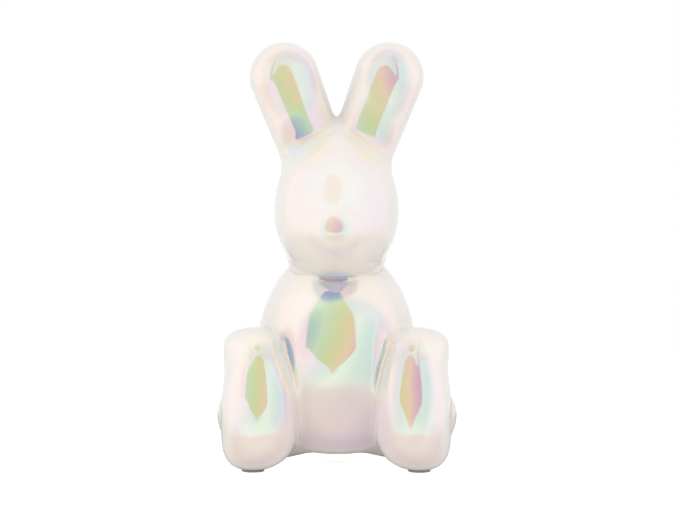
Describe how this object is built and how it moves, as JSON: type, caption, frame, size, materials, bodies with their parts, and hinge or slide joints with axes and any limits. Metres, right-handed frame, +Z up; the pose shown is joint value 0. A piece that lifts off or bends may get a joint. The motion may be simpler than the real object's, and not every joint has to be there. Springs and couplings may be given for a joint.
{
  "type": "bunny figurine",
  "caption": "Seated bunny ornament with rounded balloon-like forms, upright ears, a nose bead and a pearl lustre glaze, standing on small anti-slip pads.",
  "frame": {"origin": "middle of the footprint, on the table", "axes": "+Z up through the ears, -Y out of the face, +X to the bunny's left as the viewer sees it on the right"},
  "size_m": [0.112, 0.1008, 0.1951],
  "materials": {
    "pearl_glaze": "glossy white glaze with a pearl lustre",
    "pad_rubber": "soft matt grey rubber"
  },
  "bodies": {
    "root": {"body_casting": "pearl_glaze", "head_casting": "pearl_glaze", "nose_bead": "pearl_glaze", "tail_ball": "pearl_glaze", "ear_left": "pearl_glaze", "foot_left": "pearl_glaze", "haunch_left": "pearl_glaze", "pad_front_left": "pad_rubber", "pad_rear_left": "pad_rubber", "ear_right": "pearl_glaze", "foot_right": "pearl_glaze", "haunch_right": "pearl_glaze", "pad_front_right": "pad_rubber", "pad_rear_right": "pad_rubber"}
  },
  "joints": []
}
